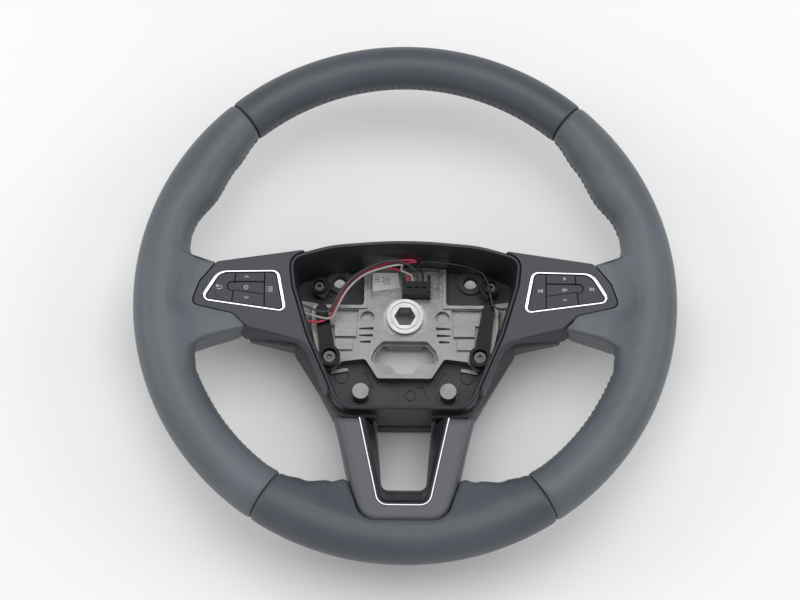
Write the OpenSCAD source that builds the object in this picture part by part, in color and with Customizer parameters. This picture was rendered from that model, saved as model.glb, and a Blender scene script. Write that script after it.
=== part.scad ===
// Three-spoke leather steering wheel with the airbag module taken out.
// The origin is on the column axis at the rear seat of the hub. +Z points to the driver,
// +Y to twelve o'clock and +X to the driver's right. Millimetres.

/* [Rim] */
// Outer diameter over the leather
rim_d = 370; // [360:1:390]
// Height of the rim's centre plane above the hub's rear seat
rim_z = 54; // [50:1:60]
// Front to back thickness of the rim
rim_thick = 31; // [30:0.5:34]
// Radius of the foam ring's section
foam_r = 13; // [12:0.25:13.25]
// Radius of the steel hoop's section
hoop_r = 7; // [5:0.5:8]
// Wall of the hoop's tube
hoop_wall = 1.6; // [1:0.1:2.5]
// Angle of the upper seams above the horizontal
seam_up = 49.5; // [46:0.5:54]
// Angle of the lower seams below the horizontal
seam_low = 56; // [54:0.5:62]
// Width of the tucked gap at a seam
seam_gap = 0.8; // [0.4:0.1:1.2]

/* [Hub frame] */
// Across flats of the hexagonal hole
hex_af = 12.8; // [11:0.1:14]
// Diameter of the pilot bore behind the hexagon
pilot_d = 20; // [18:0.5:22]
// Depth of the pilot bore
pilot_h = 8; // [6:0.5:10]
// Outer diameter of the hub boss
boss_d = 25; // [24:0.5:30]
// Height of the hub boss above its rear seat
boss_h = 22; // [20:0.5:24]
// Thickness of the frame's plate
plate_h = 7; // [6:0.5:9]
// Height of the raised flange round the plate
flange_h = 2; // [1:0.5:3]
// Width of the raised flange
flange_w = 2.2; // [1.5:0.1:3]

/* [Covers] */
// Wall of the plastic covers
wall = 2.5; // [2:0.1:3]
// How far the rear cover stands behind the hub's seat
cover_back = 6; // [3:0.5:8]
// Height of the bay's lip over the rim's centre plane
lip_up = 6; // [4:0.5:8]
// Gap between neighbouring pieces
gap = 0.4; // [0.3:0.05:0.6]

/* [Switches] */
// Widest width of the bright ring round each switch pack
ring_w = 2.1; // [1.8:0.1:2.6]
// Gap round each key
key_gap = 0.6; // [0.4:0.05:0.8]
// Travel of each key
key_travel = 0.8; // [0.5:0.1:1.2]

/* [Hidden] */

$fn = 64;
rim_out = rim_d / 2;
hoop_ring = rim_out - 15;
corner_steps = 5;

// Heights, measured from the hub's rear seat
lip_z = rim_z + lip_up;
part_z = rim_z - 8;
floor_top = rim_z - 45;
floor_low = floor_top - wall;
plate_z = floor_top + 0.3;
plate_top = plate_z + plate_h;
bezel_z = lip_z;

function unit(v) = v / norm(v);
function mix(a, b, t) = a + (b - a) * t;
function ease(t) = t <= 0 ? 0 : t >= 1 ? 1 : t * t * (3 - 2 * t);
function rising(a, b, n) = [for (i = [0:n]) a + (b - a) * i / n];

// Smooth reading of a table of [position, value]
function curve(t, x, i = 0) =
    x <= t[0][0] ? t[0][1]
    : i >= len(t) - 1 ? t[len(t) - 1][1]
    : x <= t[i + 1][0] ? mix(t[i][1], t[i + 1][1], ease((x - t[i][0]) / (t[i + 1][0] - t[i][0])))
    : curve(t, x, i + 1);

// Outward normal of the edge from a to b of an anticlockwise outline
function edge_normal(a, b) = let (d = unit(b - a)) [d[1], -d[0]];

// Outline moved outwards by d, corner by corner
function grow(p, d) = [for (i = [0:len(p) - 1])
    let (
        n1 = edge_normal(p[(i + len(p) - 1) % len(p)], p[i]),
        n2 = edge_normal(p[i], p[(i + 1) % len(p)])
    ) p[i] + d * (n1 + n2) / (1 + n1 * n2)];

function turned(v, a) = [v[0] * cos(a) - v[1] * sin(a), v[0] * sin(a) + v[1] * cos(a)];

// One corner of an outline as an arc of radius r
function corner(a, b, c, r) =
    let (
        u = unit(a - b),
        v = unit(c - b),
        half = acos(u * v) / 2,
        reach = r / tan(half),
        mid = b + unit(u + v) * r / sin(half),
        from = b + u * reach - mid,
        way = (u[0] * v[1] - u[1] * v[0]) > 0 ? -1 : 1
    ) [for (i = [0:corner_steps]) mid + turned(from, way * (180 - 2 * half) * i / corner_steps)];

// Outline with every corner rounded, r being one radius or one a corner
function rounded(p, r) = [for (i = [0:len(p) - 1])
    each corner(p[(i + len(p) - 1) % len(p)], p[i], p[(i + 1) % len(p)], r[i])];

// Rounded outline, moved outwards by d with its arcs kept parallel on outer corners
function shape(p, r, d = 0) = rounded(grow(p, d), [for (q = r) max(0.4, q + d)]);

function flat_ring(p, z) = [for (q = p) [q[0], q[1], z]];
function mirrored(p) = [for (i = [len(p) - 1:-1:0]) [-p[i][0], p[i][1]]];

// Skin over a row of rings with the same number of points. Both ends fan out from the first point
// of their ring, so that point has to see the whole ring.
module loft(rings, closed = false) {
    n = len(rings[0]);
    m = len(rings);
    sides = [for (i = [0:(closed ? m : m - 1) - 1], j = [0:n - 1])
        let (
            a = i * n + j,
            b = i * n + (j + 1) % n,
            c = ((i + 1) % m) * n + (j + 1) % n,
            d = ((i + 1) % m) * n + j
        ) each [[a, c, b], [a, d, c]]];
    ends = closed ? [] : [[for (j = [0:n - 1]) j], [for (j = [n:-1:1]) (m - 1) * n + j % n]];
    polyhedron(points = [for (r = rings) each r], faces = concat(sides, ends), convexity = 10);
}

module slab(p, z0, z1) {
    translate([0, 0, z0]) linear_extrude(z1 - z0) polygon(p);
}

module both_sides() {
    children();
    mirror([1, 0, 0]) children();
}

// Rim. g is the angle above the horizontal on either side.
grip_inner = [[-90, 150], [-60, 147], [-50, 148.7], [-30, 149], [0, 151], [20, 153], [30, 148],
    [40, 150.5], [49.5, 155], [90, 155.5]];
root_inner = [[-20, 149.5], [-15.5, 147.5], [-13.6, 145.5], [-12.4, 141.5], [-11.6, 132],
    [-11.1, 116], [-10.6, 109.4], [-10, 108.2], [0, 106.6], [10.2, 108.3], [10.8, 110], [11.3, 128],
    [11.7, 144], [12.6, 149], [14.5, 151.5], [18, 153]];
foot_inner = [[0, 139], [13, 136], [17.5, 133], [21, 137.4], [28, 144], [34, 148]];
section_points = 16;

function side_angle(a) = a > 90 && a < 270 ? 180 - a : a >= 270 ? a - 360 : a;
function plain_inner(a) = curve(grip_inner, side_angle(a));
function root_at(a) =
    let (g = side_angle(a), down = abs(g + 90))
    g > -20 && g < 18 ? curve(root_inner, g)
    : down < 34 ? curve(foot_inner, down)
    : plain_inner(a);
function lobed_inner(a) = min(plain_inner(a), root_at(a) * rim_out / 185);

// One section of the rim at angle a, drawn about the middle of the plain tube
function section(a, shrink = 1) =
    let (
        plain = plain_inner(a) * rim_out / 185,
        half = (rim_out - plain) / 2,
        mid = rim_out - half,
        deep = mid - lobed_inner(a),
        lobe = ease((deep - half) / 12),
        power = mix(1, 0.5, lobe),
        b = rim_thick / 2 * mix(1, half / 15, 0.45)
    )
    [for (k = [0:section_points - 1])
        let (
            f = 360 * k / section_points,
            c = cos(f),
            s = -sin(f),
            r = c >= 0 ? half * c : -deep * pow(-c, power),
            t = c >= 0 ? 0 : lobe * ease((-r - half * 0.2) / 26),
            rise = s >= 0 ? mix(b, 7.5, t) : mix(b, 24, t),
            h = rise * sign(s) * pow(abs(s), c >= 0 ? 1 : power),
            radius = mid + r * shrink
        ) [radius * cos(a), radius * sin(a), rim_z + h * shrink]];

// Inside of a wrap, round the foam
function hollow(a) =
    let (r = (foam_r + 0.3) / cos(180 / section_points))
    [for (k = [0:section_points - 1])
        let (f = 360 * k / section_points, radius = hoop_ring + r * cos(f))
        [radius * cos(a), radius * sin(a), rim_z - r * sin(f)]];

// A wrap from angle a to angle b, with its ends tucked in
module wrap(stations) {
    n = len(stations) - 1;
    first = stations[0] + seam_gap / 2 / rim_out * 180 / PI;
    last = stations[n] - seam_gap / 2 / rim_out * 180 / PI;
    tuck = 0.5;
    inner = round((last - first) / 6);
    outer_rings = concat(
        [section(first, 0.93), section(first + tuck, 0.99)],
        [for (i = [1:n - 1]) section(stations[i])],
        [section(last - tuck, 0.99), section(last, 0.93)]);
    inner_rings = [for (a = rising(last, first, inner)) hollow(a)];
    loft(concat(outer_rings, inner_rings), closed = true);
}

grip_stations = concat(rising(-seam_low, -20, 8), rising(-17.5, -13.6, 4), rising(-12.9, -10, 7),
    rising(-5, 5, 2), rising(10.2, 12.6, 8), rising(13.5, 18, 3), rising(22, seam_up, 7));
foot_stations = concat(rising(270 - (90 - seam_low), 248, 5), rising(250, 258, 5),
    rising(262, 278, 2), rising(282, 290, 5), rising(292, 270 + (90 - seam_low), 5));

arm_half = 11;
arm_profile = [[58, plate_z], [62, rim_z - 41.5], [90, rim_z - 32], [125, rim_z - 19.5], [144,
    rim_z - 16.5], [hoop_ring - 11, rim_z - 6],
    [hoop_ring, rim_z - 6], [hoop_ring, rim_z + 6], [hoop_ring - 12, rim_z + 4.5],
    [147.8, rim_z - 9.2], [124, rim_z - 10], [60, plate_top - 1]];
leg_profile = [[-34, floor_low - 5.5], [-80, floor_low - 5.5], [-116, rim_z - 25.5], [-160, rim_z - 17],
    [-hoop_ring, rim_z - 9], [-hoop_ring, rim_z + 3], [-hoop_ring + 6, rim_z - 2], [-160.5, rim_z - 9.5],
    [-114, rim_z - 17], [-79, floor_low - gap], [-36.6, floor_low - gap], [-36.4, plate_z + 1], [-34,
    plate_z + 1]];
leg_half = 6;
leg_turn = -10.5;
leg_x = 36.5;
leg_y = -80;

module arm_solid(extra = 0) {
    translate([0, arm_half + extra, 0]) rotate([90, 0, 0])
        linear_extrude(2 * (arm_half + extra)) polygon(grow(arm_profile, extra));
}

module leg_solid(extra = 0) {
    translate([leg_x, leg_y, 0]) rotate([0, 0, leg_turn]) translate([leg_half + extra, -leg_y, 0])
        rotate([0, -90, 0]) linear_extrude(2 * (leg_half + extra))
            polygon([for (q = grow([for (i = [len(leg_profile) - 1:-1:0]) leg_profile[i]], extra)) [q[1],
                q[0]]]);
}

module hoop_ring_solid(r) {
    translate([0, 0, rim_z]) rotate_extrude($fn = 96) translate([hoop_ring, 0]) circle(r);
}

module leather_side() {
    difference() {
        wrap(grip_stations);
        slab(shape(bezel_base, bezel_base_r, gap), part_z - 0.3, rim_z + 30);
        arm_solid(0.3);
    }
}

module leather_top() {
    color("#3b3d42") wrap(rising(seam_up, 180 - seam_up, 17));
}

module leather_right() {
    color("#3b3d42") leather_side();
}

module leather_left() {
    color("#3b3d42") mirror([1, 0, 0]) leather_side();
}

module leather_bottom() {
    color("#3b3d42") difference() {
        wrap(foot_stations);
        slab(shape(lower_outer, lower_outer_r, gap), part_z - 0.3, rim_z + 40);
        slab(shape(lower_base, lower_base_r, gap), -cover_back, part_z);
        both_sides() leg_solid(0.3);
    }
}

module rim_hoop() {
    color("#7d7f82") difference() {
        hoop_ring_solid(hoop_r);
        hoop_ring_solid(hoop_r - hoop_wall);
    }
}

module rim_foam() {
    color("#55575a") difference() {
        hoop_ring_solid(foam_r);
        hoop_ring_solid(hoop_r);
        both_sides() arm_solid();
        both_sides() leg_solid();
        slab(shape(lower_outer, lower_outer_r, gap), part_z - 0.3, rim_z + 40);
    }
}

// Bay, the opening where the airbag module sits
bay_half = [[43, -75.5], [64.2, -25.5], [74.6, 10], [76.4, 28.2], [50, 35.8]];
bay_half_r = [12, 60, 40, 7, 90];
pod_half = [[46, -80], [75, -34], [78, 10], [79.9, 30.9], [51, 38.9]];
pod_half_r = [12, 12, 40, 10, 93];
pod_corner = [71.5, -29];
top_r = 300;

// Whole outline from its right half and the point at the top
function whole(half, top) = concat(half, [[0, top]], mirrored(half));
function whole_r(r) = concat(r, [top_r], [for (i = [len(r) - 1:-1:0]) r[i]]);

bay = whole(bay_half, 40.2);
bay_r = whole_r(bay_half_r);
pod = whole(pod_half, 43.5);
pod_r = whole_r(pod_half_r);
pod_rim = whole([for (i = [0:4]) i == 1 ? pod_corner : pod_half[i]], 43.5);
lip_w = 2.9;
bay_foot = -2;
gate_h = 24.4;
function bay_ring(d, z) = flat_ring(shape(bay, bay_r, d), z);
function pod_ring(d, z, t = 0) = flat_ring(mix(shape(pod, pod_r, d), shape(bay, bay_r, 3 + d), t), z);
function pod_rim_ring(d, z) = flat_ring(shape(pod_rim, pod_r, d), z);

module bay_trim() {
    color("#1f2024") difference() {
        loft([bay_ring(0.1, part_z), bay_ring(lip_w, part_z), bay_ring(lip_w, lip_z - 1.2),
            bay_ring(lip_w - 1.2, lip_z), bay_ring(0.6, lip_z - 0.3), bay_ring(0, lip_z - 2),
            bay_ring(bay_foot + 0.3, part_z), bay_ring(bay_foot, floor_top + 0.3),
            bay_ring(bay_foot + 1.8, floor_top + 0.3), bay_ring(0.1, part_z - 1)], closed = true);
        both_sides() {
            translate([48, -arm_half - 1, floor_top - 1]) cube([40, 2 * arm_half + 2, gate_h]);
            translate([42, eye_y - 9, floor_top - 1]) cube([40, 28, 18.5]);
            translate([hole_x, hole_y, floor_top]) cylinder(r = hole_r + collar + gap, h = 3 + gap);
        }
    }
}

// Frame casting
plate_half = [[18.5, -43.6], [27.2, -29.6], [43, -31.6], [50, -37.5], [57, -36], [60, -26],
    [64.2, -8], [64.2, 9.2], [28.2, 9.2], [28.2, 40]];
plate_outline = concat(plate_half, mirrored(plate_half));
plate_r = [for (side = [0, 1], i = [0:9]) let (k = side == 0 ? i : 9 - i) [2, 3, 5, 3, 3, 4, 6, 4, 2.5,
    1][k]];
eye_d = [[-5.5, -38.2], [5.5, -38.2], [9.5, -32.4], [21.2, -30.4], [20.3, -24.4], [14.8, -18],
    [-14.8, -18], [-20.3, -24.4], [-21.2, -30.4], [-9.5, -32.4]];
eye_d_r = [2, 2, 3, 1.5, 2, 3, 3, 2, 1.5, 3];
eye_rim = [[-16.6, -41], [16.6, -41], [23.4, -30.6], [21.4, -23.8], [15.2, -16.8], [-15.2, -16.8],
    [-21.4, -23.8], [-23.4, -30.6]];
eye_rim_r = [1.5, 1.5, 3, 3, 4, 4, 3, 3];
eye_ledge = 5;
boss_groove = 9.2;
dimple_x = 25.8;
dimple_r = 4.9;
pin_x = 30;
pin_y = -53;
pin_r = 5.6;

module plate(d, z0, z1) {
    intersection() {
        slab(shape(plate_outline, plate_r, d), z0, z1);
        slab(shape(bay, bay_r, bay_foot - gap + d), z0 - 1, z1 + 1);
    }
}

module rib_slot(x0, x1, y, w, depth) {
    slab([[x0, y - w / 2], [x1, y - w / 5], [x1, y + w / 5], [x0, y + w / 2]], plate_top - depth,
    plate_top + 5);
}

module frame_casting() {
    color("#a9a9a4") difference() {
        union() {
            plate(0, plate_z, plate_top);
            difference() {
                plate(0, plate_top - 0.5, plate_top + flange_h);
                plate(-flange_w, plate_top - 1, plate_top + flange_h + 1);
            }
            difference() {
                slab(shape(eye_rim, eye_rim_r, flange_w), plate_z, plate_top + flange_h);
                slab(shape(eye_rim, eye_rim_r), plate_z - 1, plate_top + flange_h + 1);
            }
            cylinder(r = boss_d / 2, h = boss_h);
            cylinder(r = boss_d / 2 + 9, h = plate_z + 1);
            both_sides() {
                arm_solid();
                leg_solid();
                translate([pin_x, pin_y, floor_low - 4.4]) cylinder(r = pin_r + 4, h = 3.7);
                translate([pin_x, pin_y, floor_low - 1]) cylinder(r = pin_r, h = 13.8);
                translate([eye_x, eye_y, plate_z]) cylinder(r = 7, h = plate_h + 0.6);
                slab([[33.5, -13.8], [48, -13.8], [48, -3.6], [33.5, -3.6]], plate_top - 1, plate_top + 3.2);
                slab([[36, -23], [47.6, -23], [47.6, -15.4], [36, -15.4]], plate_top - 1, plate_top + 2.2);
            }
        }
        translate([0, 0, pilot_h]) cylinder(r = hex_af / 2 / cos(30), h = boss_h, $fn = 6);
        translate([0, 0, -1]) cylinder(r = pilot_d / 2, h = pilot_h + 1);
        slab(shape(eye_d, eye_d_r), -1, plate_top + 10);
        slab(shape(eye_rim, eye_rim_r), plate_top - eye_ledge, plate_top + 10);
        difference() {
            translate([0, 0, boss_h - 0.9]) cylinder(r = boss_groove + 1.1, h = 3);
            translate([0, 0, boss_h - 1]) cylinder(r = boss_groove, h = 4);
        }
        slab([[-23.6, 14], [23.6, 14], [23.6, 35.6], [-23.6, 35.6]], plate_top - 4.5, plate_top + 10);
        hoop_ring_solid(hoop_r);
        both_sides() {
            translate([dimple_x, 0.6, plate_top - 4]) cylinder(r = dimple_r, h = 10);
            slab([[32, -2.6], [59, -2.6], [59, 6.4], [32, 6.4]], plate_top - 3, plate_top + 1);
            slab([[48.5, -17], [58, -17], [59.5, -5], [48.5, -5]], plate_top - 3, plate_top + 1);
            rib_slot(21.5, 31.5, -7.2, 2.2, 4);
            rib_slot(22, 31.5, -12.2, 2.2, 4);
            rib_slot(23.5, 31, -16.8, 2.2, 4);
            translate([eye_x, eye_y, plate_z + 2]) cylinder(r = 2.5, h = plate_h + 5);
            translate([eye_x, eye_y, plate_top + 0.6]) cylinder(r = 8.2, h = 10);
        }
    }
}

// Service holes beside the upper corners of the bay
hole_x = 45;
hole_y = 28.3;
hole_r = 4.9;
collar = 3.7;

// Opening in the cover's floor behind the hub
hub_window = [[-18, -41], [18, -41], [26, -28], [26, 34], [-26, 34], [-26, -28]];
hub_window_r = [5, 5, 6, 8, 8, 6];

// Way of the switch wires through the walls, under each spoke bezel
way_half = 9;
way_low = rim_z - 35;

module wire_way(top) {
    both_sides() translate([50, -way_half, way_low]) cube([42, 2 * way_half, top - way_low]);
}

// Rear cover
lower_base = [[-46.5, -74], [-36.5, -131], [-30, -150], [30, -150], [36.5, -131], [46.5, -74]];
lower_base_r = [1, 20, 10, 10, 20, 1];
window_rear = [[-19, -76], [-15, -129], [15, -129], [19, -76]];
window_rear_r = [1, 5, 5, 1];
spoke_end = 105.4;
back_profile = [[-66, floor_low - 8.5], [-82, floor_low - 8.5], [-117, rim_z - 29], [-158, rim_z - 20],
    [-158, part_z - 0.6], [-66, part_z - 0.6]];

module across(profile, x) {
    translate([x, 0, 0]) rotate([0, -90, 0]) linear_extrude(2 * x) polygon([for (q = profile) [q[1],
    q[0]]]);
}

function spoke_ring(x, y0, y1, low, d = 0) =
    let (
        p = grow([[y1, part_z - 0.4 + 3 * d], [y0, part_z - 0.4 + 3 * d], [y0 + 5, low], [y1 - 4, low]],
            -d),
        q = rounded(p, [1, 1, 7, 7])
    ) [for (v = q) [x, v[0], v[1]]];

module pod_solid() {
    loft([bay_ring(-1.5, floor_low), bay_ring(-10.5, -cover_back), bay_ring(-8, -cover_back),
        bay_ring(-5, 4 - cover_back), pod_ring(-0.5, floor_top, 0.5), pod_ring(-0.2, part_z - 17, 0.1),
        pod_ring(0, part_z - 9), pod_rim_ring(0, part_z - 0.4)]);
}

module pod_hollow() {
    loft([pod_ring(-0.5 - wall, floor_top, 0.5), pod_ring(-0.2 - wall, part_z - 17, 0.1),
        pod_ring(-wall, part_z - 9), pod_rim_ring(-wall, part_z - 0.4),
        pod_rim_ring(-wall, part_z + 2)]);
}

module cover_shells() {
    difference() {
        union() {
            pod_solid();
            both_sides() difference() {
                loft([spoke_ring(62, -33, 35, rim_z - 45), spoke_ring(86, -29, 33, rim_z - 37.5),
                    spoke_ring(spoke_end, -26.5, 29.5, rim_z - 30)]);
                loft([spoke_ring(61, -33, 35, rim_z - 45, wall), spoke_ring(86, -29, 33, rim_z - 37.5, wall),
                    spoke_ring(spoke_end + 1, -26.5, 29.5, rim_z - 30, wall)]);
            }
            difference() {
                intersection() {
                    slab(shape(lower_base, lower_base_r), -10, rim_z);
                    across(back_profile, 60);
                }
                difference() {
                    intersection() {
                        slab(shape(lower_base, lower_base_r, -wall), -10, rim_z);
                        across([for (q = back_profile) [q[0], q[1] + wall]], 60);
                    }
                    slab(shape(window_rear, window_rear_r, wall), -20, part_z - 8.4);
                }
            }
        }
        pod_hollow();
    }
}

// Shallow marks moulded into the bay's floor
mark_deep = 1;

module floor_ring(x, y, r) {
    translate([x, y, floor_top - mark_deep]) difference() {
        cylinder(r = r, h = 3);
        translate([0, 0, -1]) cylinder(r = r - 0.9, h = 5);
    }
}

module floor_mark(p) {
    slab(p, floor_top - mark_deep, floor_top + 2);
}

module rear_cover() {
    color("#2b2c30") difference() {
        union() {
            cover_shells();
            both_sides() translate([hole_x, hole_y, floor_top - 1]) cylinder(r = hole_r + collar, h = 4);
        }
        slab(shape(hub_window, hub_window_r), -20, rim_z);
        slab(shape(window_rear, window_rear_r), -20, rim_z);
        wire_way(rim_z);
        both_sides() {
            translate([hole_x, hole_y, -20]) cylinder(r = hole_r, h = 60);
            translate([pin_x, pin_y, -20]) cylinder(r = pin_r + 0.6, h = 60);
            leg_solid(0.5);
            arm_solid(0.5);
            floor_ring(43.2, -40.2, 5.2);
        }
        floor_ring(4.3, -53.3, 4);
        floor_ring(-24.5, -48.5, 2.6);
        floor_mark([[-12, -59], [-3.3, -59], [-3.3, -44], [-12, -44]]);
        floor_mark([[13, -58], [17.5, -58], [12.8, -47], [8.3, -47]]);
        both_sides() floor_mark([[50, 17], [54.6, 17], [54.6, 18.3], [50, 18.3]]);
        both_sides() floor_mark([[20.5, -47.5], [27.5, -36.5], [28.5, -37.2], [21.5, -48.2]]);
    }
}

// Spoke bezels
bezel_base = [[69, 36.6], [44, -66.5], [54, -65.5], [70.3, -28.3], [109.5, -25.2], [117, -11.4],
    [147.5, -5.2], [141.5, 12.5], [129, 27.8]];
bezel_base_r = [2.5, 1, 1.5, 14, 6, 8, 4.5, 10, 5];
bezel_top = [[69, 34.6], [44, -64], [52.3, -63.5], [66.5, -31], [106.5, -20], [117, -10.8],
    [145, -4.2], [139.5, 11.4], [127.8, 25.8]];
bezel_top_r = [2, 0.6, 1, 14, 5, 8, 4, 9, 4];
bezel_hollow = [[70.5, -24.5], [103.5, -18], [114.6, -8.4], [141, -2.8], [136.5, 9.5], [125, 23.2],
    [82.2, 29.4], [80.4, 10]];
bezel_hollow_r = [1, 4, 4, 3, 7, 3, 2, 20];
pack = [[83, -8.5], [136.8, -0.8], [125.5, 17.6], [88, 18.4]];
pack_r = [2, 2.2, 9, 3.5];
ring_in = 0.3;
ring_share = [0.52, 1, 0.48, 0.95];
ring_r = [4, 4.5, 11, 5.5];

// Outline with every edge moved outwards by its own distance
function grow_each(p, d) = [for (i = [0:len(p) - 1])
    let (
        h = (i + len(p) - 1) % len(p),
        n1 = edge_normal(p[h], p[i]),
        n2 = edge_normal(p[i], p[(i + 1) % len(p)]),
        c = n1 * n2
    ) p[i] + ((d[h] - d[i] * c) * n1 + (d[i] - d[h] * c) * n2) / (1 - c * c)];

function ring_outline(d) = shape(grow_each(pack, [for (s = ring_share) ring_in + ring_w * s]), ring_r, d);

function bezel_ring(t, z) = flat_ring(mix(shape(bezel_base, bezel_base_r), shape(bezel_top, bezel_top_r),
    t), z);

module bezel() {
    color("#45474c") difference() {
        loft([bezel_ring(0, part_z), bezel_ring(0.25, part_z + 6), bezel_ring(0.62, bezel_z - 2.2),
            bezel_ring(0.88, bezel_z - 0.5), bezel_ring(1.05, bezel_z)]);
        slab(shape(bezel_hollow, bezel_hollow_r), part_z - 1, bezel_z - wall);
        slab(ring_outline(0.2), part_z - 1, bezel_z + 1);
        slab(shape(bay, bay_r, lip_w + gap), part_z - 1, bezel_z + 2);
    }
}

module bright_ring() {
    color("#c9ccd0") difference() {
        slab(ring_outline(0), bezel_z - 3.6, bezel_z + 0.7);
        slab(shape(pack, pack_r, ring_in), bezel_z - 4, bezel_z + 2);
    }
}

module switch_housing() {
    color("#26272b") difference() {
        slab(ring_outline(-0.1), bezel_z - 14, bezel_z - 3.9);
        slab(shape(pack, pack_r, ring_in), bezel_z - 12.4, bezel_z);
        translate([84, 1.4, bezel_z - 15]) cube([10.5, 4.2, 4]);
    }
}

module switch_board() {
    color("#2f5a3c") slab(shape(pack, pack_r, ring_in - 0.3), bezel_z - 12.1, bezel_z - 10.7);
}

// Lines that part the keys: outer column, inner column, upper and lower rows
split_outer = [118, 115.2];
inner_key_w = 12.7;
split_inner = pack[0][0] + inner_key_w;
split_upper = 11.4;
split_lower = [2.5, 5.2];
far_x = 160;
far_y = 40;

function outer_x(y) = mix(split_outer[0], split_outer[1], (y + 5) / 23);
function lower_y(x) = mix(split_lower[0], split_lower[1], (x - split_inner) / 19);

function key_area(name) =
    let (k = key_gap / 2, x0 = split_inner + k, x1 = outer_x(-far_y) - k, x2 = outer_x(far_y) - k)
    name == "outer" ? [[x1 + 2 * k, -far_y], [far_x, -far_y], [far_x, far_y], [x2 + 2 * k, far_y]]
    : name == "inner" ? [[0, -far_y], [split_inner - k, -far_y], [split_inner - k, far_y], [0, far_y]]
    : name == "up" ? [[x0, split_upper + k], [outer_x(split_upper) - k, split_upper + k], [x2, far_y],
    [x0, far_y]]
    : name == "middle" ? [[x0, lower_y(x0) + k], [outer_x(5) - k, lower_y(outer_x(5)) + k],
        [outer_x(split_upper) - k, split_upper - k], [x0, split_upper - k]]
    : [[x0, -far_y], [x1, -far_y], [outer_x(5) - k, lower_y(outer_x(5)) - k], [x0, lower_y(x0) - k]];

// Rounded end of the middle key, let into the outer key
key_end_r = 3.2;
key_end = [outer_x(8.1) + 1.3, 8.1];

module key_end_solid(d) {
    translate([key_end[0], key_end[1], 0]) cylinder(r = key_end_r + d, h = far_x, $fn = 48);
}

module key(name) {
    color("#3a3c41") intersection() {
        slab(shape(pack, pack_r, ring_in - key_gap), bezel_z - 8.6,
            bezel_z + (name == "middle" ? -0.6 : 0.1));
        difference() {
            union() {
                slab(key_area(name), 0, far_x);
                if (name == "middle") key_end_solid(-key_gap / 2);
            }
            if (name != "middle") key_end_solid(key_gap / 2);
        }
    }
}

module key_left(name) {
    mirror([1, 0, 0]) key(name);
}

module key_left_outer() {
    key_left("outer");
}

module key_left_up() {
    key_left("up");
}

module key_left_middle() {
    key_left("middle");
}

module key_left_down() {
    key_left("down");
}

module key_left_inner() {
    key_left("inner");
}

module key_right_outer() {
    key("outer");
}

module key_right_up() {
    key("up");
}

module key_right_middle() {
    key("middle");
}

module key_right_down() {
    key("down");
}

module key_right_inner() {
    key("inner");
}

module switch_board_left() {
    mirror([1, 0, 0]) switch_board();
}

module switch_board_right() {
    switch_board();
}

module bezel_left() {
    mirror([1, 0, 0]) bezel();
}

module bezel_right() {
    bezel();
}

module bright_ring_left() {
    mirror([1, 0, 0]) bright_ring();
}

module bright_ring_right() {
    bright_ring();
}

module switch_housing_left() {
    mirror([1, 0, 0]) switch_housing();
}

module switch_housing_right() {
    switch_housing();
}

// Lower bezel. Its face rises towards the rim.
lower_outer = [[-47.5, -83.5], [-36.5, -131], [-29, -158.5], [29, -158.5], [36.5, -131], [47.5, -83.5]];
lower_outer_r = [1, 20, 13, 13, 20, 1];
inlay_path = [[-32.6, -70], [-16.7, -146.2], [16.7, -146.2], [32.6, -70]];
inlay_r = [0.6, 7, 7, 0.6];
inlay_w = 1.1;
lower_rise = 0.07;
lower_end = -84.6;
bevel_in = 3.2;

function rising_ring(p, z) = [for (q = p) [q[0], q[1], z + lower_rise * (-83.5 - q[1])]];
function lower_ring(d, z) = rising_ring(shape(lower_outer, lower_outer_r, d), z);
function inlay_ring(d, z) = rising_ring(shape(inlay_path, inlay_r, d), z);

module lower_bezel() {
    color("#45474c") difference() {
        loft([flat_ring(shape(lower_outer, lower_outer_r), part_z), lower_ring(-0.3, lip_z - 3.5),
            lower_ring(-1.4, lip_z - 1), lower_ring(-3.2, lip_z + 0.3), lower_ring(-6, lip_z + 0.9)]);
        slab(shape(lower_outer, lower_outer_r, -wall), part_z - 1, lip_z - wall - 0.6);
        slab(shape(inlay_path, inlay_r, inlay_w + 0.2), part_z - 1, rim_z + 40);
    }
}

module lower_inlay() {
    color("#d5d7da") difference() {
        loft([inlay_ring(inlay_w, lip_z - 2.5), inlay_ring(inlay_w, lip_z + 1.2)]);
        loft([inlay_ring(0.1, lip_z - 3.5), inlay_ring(0.1, lip_z + 2.2)]);
        translate([-60, lower_end, 0]) cube([120, 60, 120]);
    }
}

module lower_insert() {
    color("#222327") difference() {
        loft([flat_ring(shape(inlay_path, inlay_r, -0.2), part_z), inlay_ring(-0.2, lip_z + 0.8),
            inlay_ring(-0.8, lip_z + 1), inlay_ring(-bevel_in, lip_z - 1.2),
            flat_ring(shape(window_rear, window_rear_r, 1.5), part_z - 8),
            flat_ring(shape(window_rear, window_rear_r, 2.8), part_z - 8),
            inlay_ring(-3.2, lip_z - 3), inlay_ring(-1.8, lip_z - 3.6),
            flat_ring(shape(inlay_path, inlay_r, -1.8), part_z)],
                closed = true);
        translate([-60, lower_end, 0]) cube([120, 60, 120]);
    }
}

// Brackets that tie the switch housings to the frame
eye_x = 51.6;
eye_y = -29.5;
strap_x = 57.2;
strap_y = 4;

module bracket() {
    color("#17181b") difference() {
        union() {
            hull() {
                translate([strap_x, strap_y, plate_top + flange_h + 0.3]) cylinder(r = 4.2, h = 5,
                    $fn = 32);
                translate([53.5, -22, plate_top + flange_h + 0.3]) cylinder(r = 5.2, h = 5, $fn = 32);
            }
            translate([eye_x, eye_y, plate_top + 0.9]) cylinder(r = 7.4, h = 8);
        }
        translate([eye_x, eye_y, plate_top]) cylinder(r = 2.6, h = 20);
        translate([eye_x, eye_y, plate_top + 3]) cylinder(r = 5, h = 20);
    }
}

module bracket_left() {
    mirror([1, 0, 0]) bracket();
}

module bracket_right() {
    bracket();
}

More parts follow.
